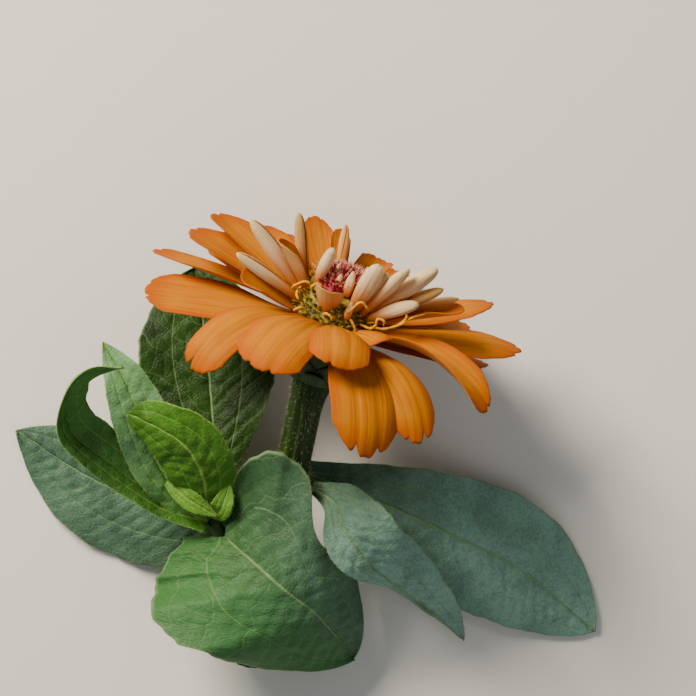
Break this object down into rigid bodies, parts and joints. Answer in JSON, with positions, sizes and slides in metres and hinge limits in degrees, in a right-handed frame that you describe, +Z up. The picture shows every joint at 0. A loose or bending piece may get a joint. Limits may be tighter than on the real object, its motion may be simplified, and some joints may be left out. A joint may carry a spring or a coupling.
{
  "type": "zinnia flower",
  "caption": "Picked orange zinnia lying down: an open layered bloom with notched petals on a cut stalk, broad waved leaves and a young leafy side shoot.",
  "frame": {"origin": "Middle of the laid flower's box, on the surface that it lies on.", "axes": "+X to the right of the bloom seen from above, along the longest side; +Y from the cut end of the stalk towards the bloom; +Z up from the surface."},
  "size_m": [0.1332, 0.1023, 0.0627],
  "materials": {
    "stem_green": "satin",
    "petal_orange": "satin",
    "disc_crimson": "matte",
    "leaf_green": "satin",
    "young_leaf_green": "satin"
  },
  "bodies": {
    "root": {"stalk": "stem_green", "involucre": "stem_green", "ray_petals": "petal_orange", "disc": "disc_crimson", "leaf_upper_right": "leaf_green", "leaf_upper_left": "leaf_green", "leaf_front": "leaf_green", "leaf_front_right": "leaf_green", "leaf_shoot_back": "leaf_green", "side_shoot": "young_leaf_green"}
  },
  "joints": []
}
